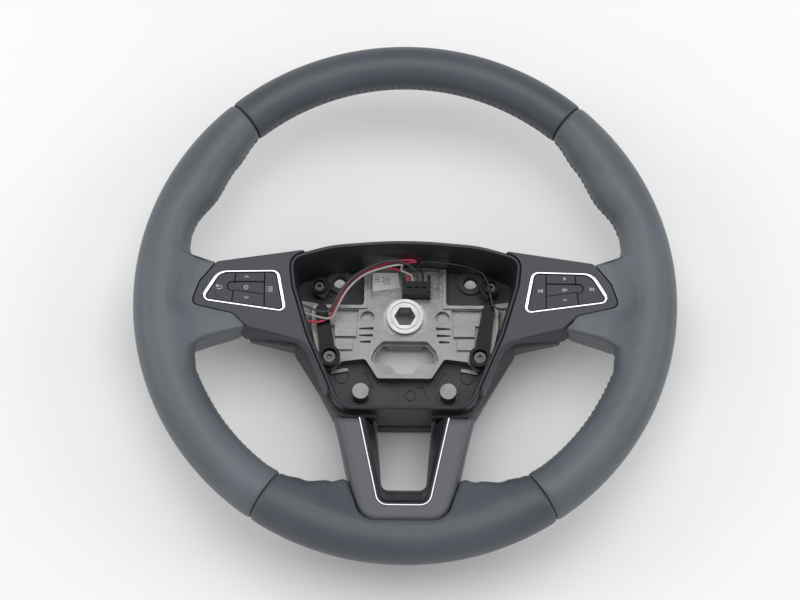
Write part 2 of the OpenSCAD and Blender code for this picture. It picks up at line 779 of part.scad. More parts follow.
module bracket_screws() {
    color("#5a5b5e") both_sides() translate([eye_x, eye_y, 0]) difference() {
        union() {
            translate([0, 0, plate_top - 4]) cylinder(r = 2.2, h = 8);
            translate([0, 0, plate_top + 3.2]) cylinder(r = 4.2, h = 3);
        }
        translate([0, 0, plate_top + 4.2]) cylinder(r = 1.8, h = 5, $fn = 6);
    }
}

// Clip plates on their sockets
clip_x = 59;
clip_y = 21.5;
clip_turn = 32;

module clip_plates() {
    color("#2c2d31") both_sides() translate([clip_x, clip_y, floor_top + 0.3]) difference() {
        union() {
            cylinder(r = 5.2, h = 15);
            rotate([0, 0, clip_turn]) translate([-7.5, -6, 10]) cube([11.5, 12, 2]);
        }
        translate([0, 0, 4]) cylinder(r = 3.6, h = 20);
    }
}

module clip_studs() {
    color("#6a6b6e") both_sides() translate([clip_x, clip_y, floor_top + 4.6]) difference() {
        cylinder(r = 3.1, h = 8);
        translate([0, 0, 4]) cylinder(r = 1.4, h = 5);
    }
}

// Connector on the frame and the wires that leave it
wire_r = 0.85;
plug_x = -2;
plug_y = 14.4;
plug_w = 19.6;
plug_d = 9.8;
plug_z = plate_top - 4.5;
plug_top = plate_top + 9.3;
wire_x = [1.5, 5, 8.5, 12];
wire_z = 24;

module connector() {
    color("#1b1c20") difference() {
        union() {
            translate([plug_x, plug_y, plug_z]) cube([plug_w, plug_d, plug_top - plug_z]);
            translate([plug_x + plug_w - 2.6, plug_y + 2, plug_z]) cube([2.6, plug_d + 2,
                plug_top - plug_z + 1.2]);
            translate([plug_x, plug_y + 2, plug_z]) cube([2, plug_d + 1, plug_top - plug_z]);
        }
        for (i = [0:2]) translate([plug_x + 3.2 + 5 * i, plug_y + 5, plug_top - 1.6]) cube([3.2, 1, 3]);
        for (x = wire_x) translate([x, plug_y + plug_d + 1, wire_z]) rotate([90, 0,
            0]) cylinder(r = wire_r + 0.15, h = 5);
    }
}

red_path = [[wire_x[0], 20.6, wire_z], [wire_x[0], 24.4, wire_z], [1.4, 29, 26.6], [-6, 31.6, 29],
    [-13, 32.5, 31], [0, 34.8, 33], [8, 35.6, 34.4], [2, 36.2, 35.8], [-10, 35, 35], [-22, 31, 33], [-32,
    27, 31], [-40, 20, 29], [-45, 12, 28], [-49, 3, 27],
    [-52.5, -3, 26.5], [-58.8, -6.2, 27], [-66, -6, 28], [-75, -3.4, 31], [-83, 1, 37], [-86.2, 3.4, 43],
    [-86.4, 3.5, 47.6]];

function path_turn(p, i) = unit(p[min(i + 1, len(p) - 1)] - p[max(i - 1, 0)]);

// Points of a smooth curve through hand-set points
function smooth_path(p, n) = [for (i = [0:len(p) - 2], k = [0:n - 1])
    let (
        a = p[max(i - 1, 0)], b = p[i], c = p[i + 1], d = p[min(i + 2, len(p) - 1)], t = k / n
    ) 0.5 * (2 * b + (c - a) * t + (2 * a - 5 * b + 4 * c - d) * t * t + (3 * b - a - 3 * c + d) * t * t * t)];

module tube(p, r) {
    pts = concat(smooth_path(p, 2), [p[len(p) - 1]]);
    loft([for (i = [0:len(pts) - 1])
        let (
            w = path_turn(pts, i),
            u = unit(cross([0.11, 0.07, 1], w)),
            v = cross(w, u)
        ) [for (k = [0:7]) pts[i] + r * (u * cos(45 * k) + v * sin(45 * k))]]);
}

function aside(p, dx, dy, dz) = [for (q = p) q + [dx, dy, dz]];

module wire_red() {
    color("#a8324a") tube(red_path, wire_r);
}

white_path = [[wire_x[1], 20.6, wire_z], [wire_x[1], 24.4, wire_z], [4, 28, 27.5], [-3, 30, 31.5], [-2,
    32.6, 34.8], [-8, 32, 36.2],
    [-20, 29, 35.3], [-30.5, 24.6, 33.2], [-38, 18, 31], [-43, 11, 30], [-47, 2.5, 29], [-50.5, -4, 28.6],
    [-57.8, -3.5, 28.7], [-66, -1.5, 29.3], [-76, 1.6, 32], [-85, 3.4, 37], [-89, 3.6, 43],
    [-89.2, 3.5, 47.6]];

module wire_white() {
    color("#d8d8d4") tube(white_path, wire_r);
}

dark_path = [[wire_x[2], 20.6, wire_z], [wire_x[2], 24.4, wire_z], [8.3, 28, 26.4], [6, 31, 32], [-6,
    35.3, 38.6], [-20, 32.5, 36.8], [-31, 27.5, 34.8],
    [-39, 21.5, 32.3], [-45.5, 13, 31], [-49.3, 5, 30.3], [-53.5, 0.6, 29.2], [-60, 1, 28.9], [-68, 4, 30],
    [-78, 5.6, 32.4], [-88, 4.6, 37], [-92, 3.7, 43], [-92.1, 3.5, 47.6]];

module wire_dark() {
    color("#3c3f42") tube(dark_path, wire_r);
}

black_path = [[wire_x[3], 20.6, wire_z], [wire_x[3], 24.4, wire_z], [12, 28.6, 27], [9, 32.6, 31],
    [12, 35.4, 34], [19, 35, 35], [27, 34.2, 35.2], [36, 33.2, 34.6], [45, 32, 32], [53, 29, 29.4], [57,
    22, 28],
    [59, 12, 27.6], [61, 5.5, 27.8], [66, 3.4, 28.4], [74, 3, 31], [83, 3.2, 37], [86.4, 3.5, 43],
    [86.4, 3.5, 47.6]];

module wire_black() {
    color("#202124") tube(black_path, wire_r);
}

module frame_sticker() {
    color("#d9d9d3") slab([[-22.5, 21], [-3.5, 24], [-5, 34.6], [-22.5, 34.6]], plate_top - 4.4,
    plate_top - 4.1);
}

frame_casting();
rim_hoop();
rim_foam();
leather_top();
leather_left();
leather_right();
leather_bottom();
rear_cover();
bay_trim();
bezel_left();
bezel_right();
bright_ring_left();
bright_ring_right();
switch_housing_left();
switch_housing_right();
switch_board_left();
switch_board_right();
key_left_outer();
key_left_up();
key_left_middle();
key_left_down();
key_left_inner();
key_right_outer();
key_right_up();
key_right_middle();
key_right_down();
key_right_inner();
lower_bezel();
lower_inlay();
lower_insert();
bracket_left();
bracket_right();
bracket_screws();
clip_plates();
clip_studs();
connector();
wire_red();
wire_white();
wire_dark();
wire_black();
frame_sticker();
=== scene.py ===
# %% [markdown]
# # A leather steering wheel with its hub open
# The wheel lies face up on a pale table. Its airbag module is out, so the metal frame, the
# wires and the black bay show in the middle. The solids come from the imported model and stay
# where they are. This lesson gives them a maker's finish: rounded edges, moulded grain, soft
# leather with stitched seams, and the pale marks on the keys.

import math

import bmesh
import bpy
from mathutils import Matrix, Vector


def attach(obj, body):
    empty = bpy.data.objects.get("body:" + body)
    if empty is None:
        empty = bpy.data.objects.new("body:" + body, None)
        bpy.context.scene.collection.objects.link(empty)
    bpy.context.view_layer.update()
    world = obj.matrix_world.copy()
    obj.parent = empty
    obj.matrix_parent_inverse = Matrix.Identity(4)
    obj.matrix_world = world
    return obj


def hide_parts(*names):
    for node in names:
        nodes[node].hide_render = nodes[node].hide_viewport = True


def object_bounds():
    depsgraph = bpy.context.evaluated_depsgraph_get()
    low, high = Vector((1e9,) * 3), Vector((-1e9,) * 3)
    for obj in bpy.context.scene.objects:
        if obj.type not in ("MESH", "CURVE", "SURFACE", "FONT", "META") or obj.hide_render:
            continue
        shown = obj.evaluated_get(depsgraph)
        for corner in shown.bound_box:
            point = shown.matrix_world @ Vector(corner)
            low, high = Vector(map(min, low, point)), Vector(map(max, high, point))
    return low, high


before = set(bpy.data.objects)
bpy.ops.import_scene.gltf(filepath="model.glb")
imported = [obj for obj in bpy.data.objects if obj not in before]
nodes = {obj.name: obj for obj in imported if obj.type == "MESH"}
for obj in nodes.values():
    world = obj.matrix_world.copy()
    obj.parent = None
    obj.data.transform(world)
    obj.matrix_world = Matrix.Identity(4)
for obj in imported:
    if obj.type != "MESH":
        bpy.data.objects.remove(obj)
cad_low, cad_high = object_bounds()

# %% [markdown]
# ## Camera
# The photograph was taken from above the wheel, leaning a little towards its lower edge. A
# long lens at three metres gives the same flat perspective. The camera's axes are written as
# the columns of a matrix, so the tilt and the small roll stay readable.

# %% Camera at the photograph's angle
RIM_Z = 0.054
TILT = 0.3235
ROLL = -0.008
DISTANCE = 3.0
LENS = 198.5
SENSOR = 36
AIM_RIGHT, AIM_UP = -0.0035, 0.00098
toward = Vector((0, -math.sin(TILT), math.cos(TILT)))
flat_up = Vector((0, math.cos(TILT), math.sin(TILT)))
flat_right = Vector((1, 0, 0))
right = flat_right * math.cos(ROLL) - flat_up * math.sin(ROLL)
up = flat_right * math.sin(ROLL) + flat_up * math.cos(ROLL)
camera_data = bpy.data.cameras.new("camera")
camera_data.lens = LENS
camera_data.sensor_width = SENSOR
camera = bpy.data.objects.new("camera", camera_data)
bpy.context.collection.objects.link(camera)
turn = Matrix((right, up, toward)).transposed().to_4x4()
place = Vector((0, 0, RIM_Z)) + toward * DISTANCE + right * AIM_RIGHT + up * AIM_UP
camera.matrix_world = Matrix.Translation(place) @ turn
bpy.context.scene.camera = camera
print("camera at", [round(v, 3) for v in camera.location])

# %% [markdown]
# ## Helpers for materials
# Every finish is a small node tree on the Principled shader. Patterns read Object
# coordinates, which here are metres in the wheel's own frame, so a grain of one millimetre
# has a scale of about a thousand.

# %% Material helpers
def new_material(name, rough, metal=0.0, **sockets):
    material = bpy.data.materials.new(name)
    material.use_nodes = True
    tree = material.node_tree
    shader = tree.nodes["Principled BSDF"]
    shader.inputs["Roughness"].default_value = rough
    shader.inputs["Metallic"].default_value = metal
    for socket, value in sockets.items():
        shader.inputs[socket.replace("_", " ")].default_value = value
    return material, tree, shader


def pattern(tree, kind, scale, **settings):
    node = tree.nodes.new(kind)
    where = tree.nodes.new("ShaderNodeTexCoord")
    tree.links.new(where.outputs["Object"], node.inputs["Vector"])
    node.inputs["Scale"].default_value = scale
    for socket, value in settings.items():
        if socket in node.inputs:
            node.inputs[socket].default_value = value
        else:
            setattr(node, socket, value)
    return node


def ramp(tree, source, stops):
    node = tree.nodes.new("ShaderNodeValToRGB")
    tree.links.new(source, node.inputs["Fac"])
    elements = node.color_ramp.elements
    while len(elements) < len(stops):
        elements.new(0.5)
    for element, (position, colour) in zip(elements, stops):
        element.position = position
        element.color = (*colour, 1) if len(colour) == 3 else colour
    return node.outputs["Color"]


def grey(value):
    return (value, value, value)


def bump(tree, shader, height, distance, strength=1.0, under=None):
    node = tree.nodes.new("ShaderNodeBump")
    node.inputs["Strength"].default_value = strength
    node.inputs["Distance"].default_value = distance
    tree.links.new(height, node.inputs["Height"])
    if under:
        tree.links.new(under, node.inputs["Normal"])
    tree.links.new(node.outputs["Normal"], shader.inputs["Normal"])
    return node.outputs["Normal"]


def mottled(name, dark, light, patch, rough, spread, metal=0.0, **sockets):
    """Colour drifting between two shades over patches, with roughness drifting too."""
    material, tree, shader = new_material(name, rough, metal, **sockets)
    cloud = pattern(tree, "ShaderNodeTexNoise", patch, Detail=5.0)
    colours = [(0.3, dark), (0.7, light)]
    shines = [(0.3, grey(rough - spread)), (0.7, grey(rough + spread))]
    tree.links.new(ramp(tree, cloud.outputs["Fac"], colours), shader.inputs["Base Color"])
    tree.links.new(ramp(tree, cloud.outputs["Fac"], shines), shader.inputs["Roughness"])
    return material, tree, shader


DRIFT = 45


def grained(name, dark, light, rough, grain, depth, **sockets):
    """Moulded plastic: slow colour drift with a fine spark-eroded grain."""
    material, tree, shader = mottled(name, dark, light, DRIFT, rough, 0.05, **sockets)
    cells = pattern(tree, "ShaderNodeTexNoise", grain, Detail=3.0)
    bump(tree, shader, cells.outputs["Fac"], depth)
    return material

# %% [markdown]
# ## Finishes
# The leather is a charcoal hide: pebbles about a millimetre across, a finer pore between
# them, and shine that changes slowly along the rim where hands have polished it. The covers
# are moulded plastic, the frame is raw die-cast metal, and the trims are satin plating.

# %% Leather
def leather_finish(name, dark, light):
    material, tree, shader = mottled(name, dark, light, 14, 0.43, 0.06)
    pebbles = pattern(tree, "ShaderNodeTexVoronoi", 950, feature="SMOOTH_F1", Smoothness=0.6)
    pores = pattern(tree, "ShaderNodeTexNoise", 2600, Detail=2.0)
    creases = pattern(tree, "ShaderNodeTexNoise", 160, Detail=4.0, Distortion=0.6)
    first = bump(tree, shader, pebbles.outputs["Distance"], 0.00010, 0.7)
    second = bump(tree, shader, pores.outputs["Fac"], 0.00003, 0.6, first)
    bump(tree, shader, creases.outputs["Fac"], 0.00012, 0.5, second)
    return material


leather = leather_finish("rim_leather", (0.048, 0.053, 0.065), (0.066, 0.072, 0.086))
grip_leather = leather_finish("grip_leather", (0.073, 0.080, 0.092), (0.106, 0.115, 0.131))
print("finishes:", leather.name, grip_leather.name)

# %% [markdown]
# The plastics share one recipe and differ in shade, shine and grain. The trims that a hand
# touches are dull and finely grained, the brackets deep in the bay are nearly black, and each
# wire has its own dyed insulation. Roughness, grain and depth follow the two shades.

# %% Plastics, paper and wires
bezel_grey = grained("bezel_plastic", (0.036, 0.039, 0.048), (0.044, 0.047, 0.057),
                     0.48, 1800, 0.00004, Specular_IOR_Level=0.4)
lower_grey = grained("lower_plastic", (0.070, 0.074, 0.088), (0.082, 0.086, 0.101),
                     0.46, 1800, 0.00004)
key_grey = grained("key_plastic", (0.042, 0.045, 0.053), (0.052, 0.055, 0.064),
                   0.55, 2200, 0.00003, Specular_IOR_Level=0.3)
bay_black = grained("bay_plastic", (0.015, 0.016, 0.020), (0.023, 0.024, 0.029),
                    0.36, 1500, 0.00004)
cover_black = grained("cover_plastic", (0.024, 0.025, 0.029), (0.033, 0.034, 0.039),
                      0.52, 1500, 0.00005)
bracket_black = grained("bracket_plastic", (0.003, 0.003, 0.004), (0.006, 0.006, 0.007),
                        0.3, 1200, 0.00003, Specular_IOR_Level=0.16)
board_green = grained("circuit_board", (0.02, 0.06, 0.03), (0.03, 0.08, 0.04),
                      0.5, 900, 0.00002)
foam_grey = grained("moulded_foam", (0.05, 0.05, 0.05), (0.08, 0.08, 0.08),
                    0.85, 700, 0.0001)
label_paper = grained("label_paper", (0.66, 0.66, 0.63), (0.72, 0.72, 0.69),
                      0.6, 1500, 0.00002)
INSULATION = {
    "red": ((0.42, 0.02, 0.05), (0.55, 0.04, 0.08)),
    "white": ((0.30, 0.27, 0.27), (0.46, 0.42, 0.41)),
    "dark": ((0.03, 0.04, 0.045), (0.06, 0.07, 0.075)),
    "black": ((0.010, 0.010, 0.011), (0.016, 0.016, 0.017)),
}
wire_finishes = {
    "wire_" + shade: grained(shade + "_insulation", dark, light, 0.4, 900, 0.00002)
    for shade, (dark, light) in INSULATION.items()
}
print("plastics and wires:", len(bpy.data.materials))

# %% [markdown]
# The frame is raw die-cast metal with a pitted skin that runs from dull to bright. Only the
# hub's face is machined, so a ring about the axis blends in a brighter shade there. The rings
# and the U line are plated, and the screws carry a dark coat.

# %% Metals
METALLIC = 0.85
HUB_EDGE, HUB_FADE = 0.0136, 0.0146
MACHINED = (0.44, 0.44, 0.425, 1)


def metal_finish(name, dark, light, rough, pit, depth):
    material, tree, shader = mottled(name, dark, light, 60, rough, 0.08, metal=METALLIC)
    skin = pattern(tree, "ShaderNodeTexNoise", pit, Detail=6.0)
    bump(tree, shader, skin.outputs["Fac"], depth)
    return material


cast_metal = metal_finish("cast_metal", (0.15, 0.15, 0.143), (0.29, 0.29, 0.278),
                          0.42, 420, 0.0003)


def brighten_hub(material):
    """The hub's face is machined, so it is brighter than the raw casting round it."""
    tree = material.node_tree
    shader = tree.nodes["Principled BSDF"]
    where = tree.nodes.new("ShaderNodeTexCoord")
    flat = tree.nodes.new("ShaderNodeVectorMath")
    flat.operation = "MULTIPLY"
    flat.inputs[1].default_value = (1, 1, 0)
    reach = tree.nodes.new("ShaderNodeVectorMath")
    reach.operation = "LENGTH"
    tree.links.new(where.outputs["Object"], flat.inputs[0])
    tree.links.new(flat.outputs["Vector"], reach.inputs[0])
    ring = ramp(tree, reach.outputs["Value"], [(HUB_EDGE, grey(1.0)), (HUB_FADE, grey(0.0))])
    blend = tree.nodes.new("ShaderNodeMix")
    blend.data_type = "RGBA"
    raw = shader.inputs["Base Color"].links[0].from_socket
    tree.links.new(ring, blend.inputs["Factor"])
    tree.links.new(raw, blend.inputs["A"])
    blend.inputs["B"].default_value = MACHINED
    tree.links.new(blend.outputs["Result"], shader.inputs["Base Color"])


brighten_hub(cast_metal)
plated = metal_finish("satin_plating", (0.88, 0.89, 0.90), (0.94, 0.95, 0.96),
                      0.24, 1500, 0.00001)
line_plated = metal_finish("line_plating", (0.48, 0.49, 0.51), (0.60, 0.61, 0.63),
                           0.3, 1500, 0.00001)
screw_steel = metal_finish("coated_steel", (0.06, 0.06, 0.065), (0.12, 0.12, 0.12),
                           0.38, 900, 0.00004)
tube_steel = metal_finish("tube_steel", (0.28, 0.28, 0.29), (0.36, 0.36, 0.37),
                          0.38, 900, 0.00003)
print("finishes:", len(bpy.data.materials))

# %% [markdown]
# ## Rounded edges for the hard parts
# A moulded or cast edge is never sharp: it has a radius of a few tenths of a millimetre that
# catches a thin line of light. A copy of the CAD node's mesh is merged into one skin, its
# sharp edges get a small bevel, and weighted normals keep the flat faces flat.

# %% Dress a CAD node
MERGE = 2e-6
FLAT = math.radians(0.3)


def link(name, mesh, material, body="wheel"):
    piece = bpy.data.objects.new(name, mesh)
    bpy.context.collection.objects.link(piece)
    mesh.materials.clear()
    mesh.materials.append(material)
    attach(piece, body)
    return piece


def smooth(mesh):
    mesh.polygons.foreach_set("use_smooth", [True] * len(mesh.polygons))


def dress(node, material, radius=0.3, angle=32, body="wheel", segments=2):
    """Merged copy of a CAD node with its edges rounded by radius millimetres."""
    mesh = nodes[node].data.copy()
    skin = bmesh.new()
    skin.from_mesh(mesh)
    bmesh.ops.remove_doubles(skin, verts=skin.verts, dist=MERGE)
    bmesh.ops.dissolve_limit(skin, angle_limit=FLAT, verts=skin.verts, edges=skin.edges)
    skin.to_mesh(mesh)
    skin.free()
    smooth(mesh)
    piece = link(node + "_skin", mesh, material, body)
    if radius:
        rounding = piece.modifiers.new("rounding", "BEVEL")
        rounding.width = radius / 1000
        rounding.segments = segments
        rounding.limit_method = "ANGLE"
        rounding.angle_limit = math.radians(angle)
        rounding.use_clamp_overlap = True
    weighting = piece.modifiers.new("weighting", "WEIGHTED_NORMAL")
    weighting.keep_sharp = True
    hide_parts(node)
    return piece


# %% Hard parts, wires and the pieces left as the CAD has them
FINISHES = {
    "rear_cover": (cover_black, 0.5),
    "bay_trim": (bay_black, 0.3),
    "bezel_left": (bezel_grey, 0.3),
    "bezel_right": (bezel_grey, 0.3),
    "bright_ring_left": (plated, 0.3),
    "bright_ring_right": (plated, 0.3),
    "switch_housing_left": (bracket_black, 0.2),
    "switch_housing_right": (bracket_black, 0.2),
    "lower_bezel": (lower_grey, 0.3),
    "lower_inlay": (line_plated, 0.2),
    "lower_insert": (bay_black, 0.3),
    "frame_casting": (cast_metal, 0.5),
    "bracket_left": (bracket_black, 0.4),
    "bracket_right": (bracket_black, 0.4),
    "bracket_screws": (screw_steel, 0.2),
    "clip_plates": (bracket_black, 0.3),
    "clip_studs": (screw_steel, 0.2),
    "connector": (bracket_black, 0.3),
}
KEPT_SHAPES = {
    "rim_hoop": tube_steel,
    "rim_foam": foam_grey,
    "frame_sticker": label_paper,
    "switch_board_left": board_green,
    "switch_board_right": board_green,
}
for node, (material, radius) in FINISHES.items():
    dress(node, material, radius)
for node, material in wire_finishes.items():
    dress(node, material, 0)
for node, material in KEPT_SHAPES.items():
    nodes[node].data.materials.clear()
    nodes[node].data.materials.append(material)
print("dressed:", len(FINISHES) + len(wire_finishes), "kept shapes:", len(KEPT_SHAPES))

# %% [markdown]
# ## Keys
# Five keys sit in each switch pack. Each is a body of its own that slides straight into the
# housing, so its skin rides on that body. A finger feels the edge, so it gets a rounder bevel
# with one segment more than the other parts.

# %% Keys, each on its own body
KEYS = ["outer", "up", "middle", "down", "inner"]
KEY_EDGE = 0.35
for side in ("left", "right"):
    for key in KEYS:
        node = f"key_{side}_{key}"
        dress(node, key_grey, KEY_EDGE, body=node, segments=3)
print("keys dressed:", 2 * len(KEYS))

# %% [markdown]
# ## Leather over the rim
# Four wraps of hide cover the foam. Each starts as a plain tube spun round the column axis
# from one circle. Then every point moves out to the grip's real section, which is a circle
# on the rim and flattens into a rounded slab where the spokes and the lower bezel leave it.
# At its two ends the hide tucks down into the seam.

# %% The section of the grip, in millimetres
RIM_OUT = 185.0
HOOP = 170.0
RIM_THICK = 31.0
TUBE = 13.3
GRIP = [(-90, 150), (-60, 147), (-50, 148.7), (-30, 149), (0, 151), (20, 153), (30, 148),
        (40, 150.5), (49.5, 155), (90, 155.5)]
ROOT = [(-20, 149.5), (-15.5, 147.5), (-13.6, 145.5), (-12.4, 141.5), (-11.6, 132), (-11.1, 116),
        (-10.6, 109.4), (-10, 108.2), (0, 106.6), (10.2, 108.3), (10.6, 110), (11, 128),
        (11.3, 144.5), (11.8, 148), (13, 150.3), (14.5, 151.8), (18, 153)]
FOOT = [(0, 139), (13, 136), (17.5, 133), (21, 137.4), (28, 144), (34, 148)]
EVEN_HEIGHT = 0.45
PLAIN_HALF = 15
LOBE_GROWTH = 12
SLAB_RUN = 26
SLAB_ABOVE, SLAB_BELOW = 7.5, 24


def mix(a, b, t):
    return a + (b - a) * t


def ease(t):
    t = min(1.0, max(0.0, t))
    return t * t * (3 - 2 * t)


def read(table, x):
    """Smooth reading of a table of (position, value)."""
    if x <= table[0][0]:
        return table[0][1]
    for (x0, y0), (x1, y1) in zip(table, table[1:]):
        if x <= x1:
            return mix(y0, y1, ease((x - x0) / (x1 - x0)))
    return table[-1][1]


def side_angle(a):
    """Angle above or below the spoke, the same on the left and on the right."""
    a = a % 360
    if 90 < a < 270:
        return 180 - a
    return a - 360 if a >= 270 else a


def inner_radius(a):
    """Inner edge at angle a, in millimetres: of the plain grip, and with its spoke or foot."""
    g = side_angle(a)
    plain = read(GRIP, g)
    below = abs(g + 90)
    root = plain
    if ROOT[0][0] < g < ROOT[-1][0]:
        root = read(ROOT, g)
    elif below < FOOT[-1][0]:
        root = read(FOOT, below)
    return plain, min(plain, root)


def grip_point(a, f, shrink=1.0):
    """Point of the hide at angle a round the wheel and angle f round the tube, in metres."""
    plain, inner = inner_radius(a)
    half = (RIM_OUT - plain) / 2
    mid = RIM_OUT - half
    deep = mid - inner
    lobe = ease((deep - half) / LOBE_GROWTH)
    c, s = math.cos(f), math.sin(f)
    height = RIM_THICK / 2 * mix(1, half / PLAIN_HALF, EVEN_HEIGHT)
    if c >= 0:
        radius, lift = half * c, height * s
    else:
        power = 2 / mix(1, 0.5, lobe)
        k = (abs(c) ** power + abs(s) ** power) ** (-1 / power)
        radius = -deep * abs(c) * k
        t = lobe * ease((-radius - half * 0.2) / SLAB_RUN)
        slab = SLAB_ABOVE if s >= 0 else SLAB_BELOW
        lift = math.copysign(abs(s) * k, s) * mix(height, slab, t)
    away = (mid + radius * shrink) / 1000
    turn = math.radians(a)
    return Vector((away * math.cos(turn), away * math.sin(turn), RIM_Z + lift * shrink / 1000))


print("grip at three o'clock:", [round(v * 1000, 1) for v in grip_point(0, math.pi)])

# %% [markdown]
# ## Pockets for the bezels
# The hide also dips where a hard bezel is let into it, and the bezel's pocket is cut out with
# an exact boolean. The cutter is the bezel's own outline, grown by the fitting gap, and it
# narrows upwards as the bezel does. A painted line would be simpler, but it has no depth.

# %% Outlines that are let into the hide
GAP = 0.3
PART_Z = 46.0
CORNER_STEPS = 8
LEAST_RADIUS = 0.4
BEZEL_BASE = [(69, 36.6), (44, -66.5), (54, -65.5), (70.3, -28.3), (109.5, -25.2),
              (117, -11.4), (147.5, -5.2), (141.5, 12.5), (129, 27.8)]
BEZEL_R = [2.5, 1, 1.5, 14, 6, 8, 4.5, 10, 5]
BEZEL_TOP = [(69, 34.6), (44, -64), (52.3, -63.5), (66.5, -31), (106.5, -20), (117, -10.8),
             (145, -4.2), (139.5, 11.4), (127.8, 25.8)]
BEZEL_TOP_R = [2, 0.6, 1, 14, 5, 8, 4, 9, 4]
LOWER_OUTER = [(-47.5, -83.5), (-36.5, -131), (-29, -158.5),
               (29, -158.5), (36.5, -131), (47.5, -83.5)]
LOWER_R = [1, 20, 13, 13, 20, 1]
LOWER_BASE = [(-46.5, -74), (-36.5, -131), (-30, -150),
              (30, -150), (36.5, -131), (46.5, -74)]
LOWER_BASE_R = [1, 20, 10, 10, 20, 1]


def outline(points, radii, grow):
    """Polygon moved outwards by grow, with rounded corners, in millimetres."""
    corners = [Vector(p) for p in points]
    count = len(corners)
    moved = []
    for i in range(count):
        before, here, after = corners[i - 1], corners[i], corners[(i + 1) % count]
        d1, d2 = (here - before).normalized(), (after - here).normalized()
        n1, n2 = Vector((d1.y, -d1.x)), Vector((d2.y, -d2.x))
        moved.append(here + grow * (n1 + n2) / (1 + n1.dot(n2)))
    rounded = []
    for i in range(count):
        before, here, after = moved[i - 1], moved[i], moved[(i + 1) % count]
        u, v = (before - here).normalized(), (after - here).normalized()
        half = math.acos(max(-1, min(1, u.dot(v)))) / 2
        r = max(LEAST_RADIUS, radii[i] + grow)
        middle = here + (u + v).normalized() * r / math.sin(half)
        start = here + u * r / math.tan(half) - middle
        way = -1 if u.x * v.y - u.y * v.x > 0 else 1
        for k in range(CORNER_STEPS + 1):
            step = Matrix.Rotation(way * (math.pi - 2 * half) * k / CORNER_STEPS, 2)
            rounded.append(middle + step @ start)
    return rounded


def outline_distance(x, y, shape):
    """Distance from a point outside an outline to it, in millimetres, and 0 inside it."""
    best = 1e9
    inside = False
    point = Vector((x, y))
    for p, q in zip(shape, shape[1:] + shape[:1]):
        edge = q - p
        if (p.y > y) != (q.y > y) and x < p.x + (y - p.y) * edge.x / edge.y:
            inside = not inside
        t = max(0, min(1, (point - p).dot(edge) / max(edge.length_squared, 1e-9)))
        best = min(best, (p + edge * t - point).length)
    return 0.0 if inside else best


def cutter(shape, low, high, upper=None):
    """Closed block from an outline at height low to the same or an upper one at height high."""
    block = bmesh.new()
    face = block.faces.new([block.verts.new((p.x / 1000, p.y / 1000, low / 1000)) for p in shape])
    raised = bmesh.ops.extrude_face_region(block, geom=[face])["geom"]
    tops = [g for g in raised if isinstance(g, bmesh.types.BMVert)]
    bmesh.ops.translate(block, verts=tops, vec=(0, 0, (high - low) / 1000))
    if upper:
        for v in tops:
            nearest = min(range(len(shape)), key=lambda i: (shape[i] / 1000 - v.co.xy).length)
            v.co.xy = upper[nearest] / 1000
    bmesh.ops.recalc_face_normals(block, faces=block.faces)
    mesh = bpy.data.meshes.new("cutter")
    block.to_mesh(mesh)
    block.free()
    made = bpy.data.objects.new("cutter", mesh)
    bpy.context.collection.objects.link(made)
    return made


side_outline = outline(BEZEL_BASE, BEZEL_R, GAP)
side_top = outline(BEZEL_TOP, BEZEL_TOP_R, GAP)
left_outline = [Vector((-p.x, p.y)) for p in reversed(side_outline)]
left_top = [Vector((-p.x, p.y)) for p in reversed(side_top)]
lower_outline = outline(LOWER_OUTER, LOWER_R, GAP)
print("bezel outline points:", len(side_outline))

# %% [markdown]
# ## One wrap of hide
# A real wrap is cut flat, pulled round the foam and tucked in at both ends. Here the outer
# skin and the foam's tube are spun together and bridged at the ends, so the wrap has a true
# thickness. Sections crowd towards the seams, where the hide shrinks and turns in.

# %% Measures of a wrap
AROUND, INNER_AROUND = 100, 50
STEP, INNER_STEP = 0.6, 2.4
SEAM = 0.124
INNER_SHORT = 0.8
CROWDING, CROWD_RUN = 0.72, 1.1
TUCK, TUCK_RUN = 0.075, 0.28
POCKET_Z = 0.0602
POCKET_TOP_Z, OPEN_TOP_Z = 66, 90
SETTLE, SETTLE_RUN = 0.97, 15
DIP, DIP_RUN, DIP_RISE = 0.0006, 1.8, 0.006
HIDE_EDGE = math.radians(48)
print("a wrap has a section every", STEP, "degrees")

# %% Spin, shape and cut one wrap
def tube(skin, radius, count, start, end, steps):
    """Plain tube of that radius about the hoop, from start to end degrees."""
    ring = bmesh.ops.create_circle(skin, segments=count, radius=radius / 1000)["verts"]
    upright = Matrix.Rotation(math.pi / 2, 3, "X")
    to_start = Matrix.Rotation(math.radians(start), 3, "Z")
    bmesh.ops.rotate(skin, verts=ring, cent=(0, 0, 0), matrix=upright)
    bmesh.ops.translate(skin, verts=ring, vec=(HOOP / 1000, 0, RIM_Z))
    bmesh.ops.rotate(skin, verts=ring, cent=(0, 0, 0), matrix=to_start)
    edges = list({e for v in ring for e in v.link_edges})
    spun = bmesh.ops.spin(skin, geom=ring + edges, cent=(0, 0, 0), axis=(0, 0, 1),
                          dvec=(0, 0, 0), angle=math.radians(end - start), steps=steps,
                          use_duplicate=False)
    last = [g for g in spun["geom_last"] if isinstance(g, bmesh.types.BMEdge)]
    return edges, last


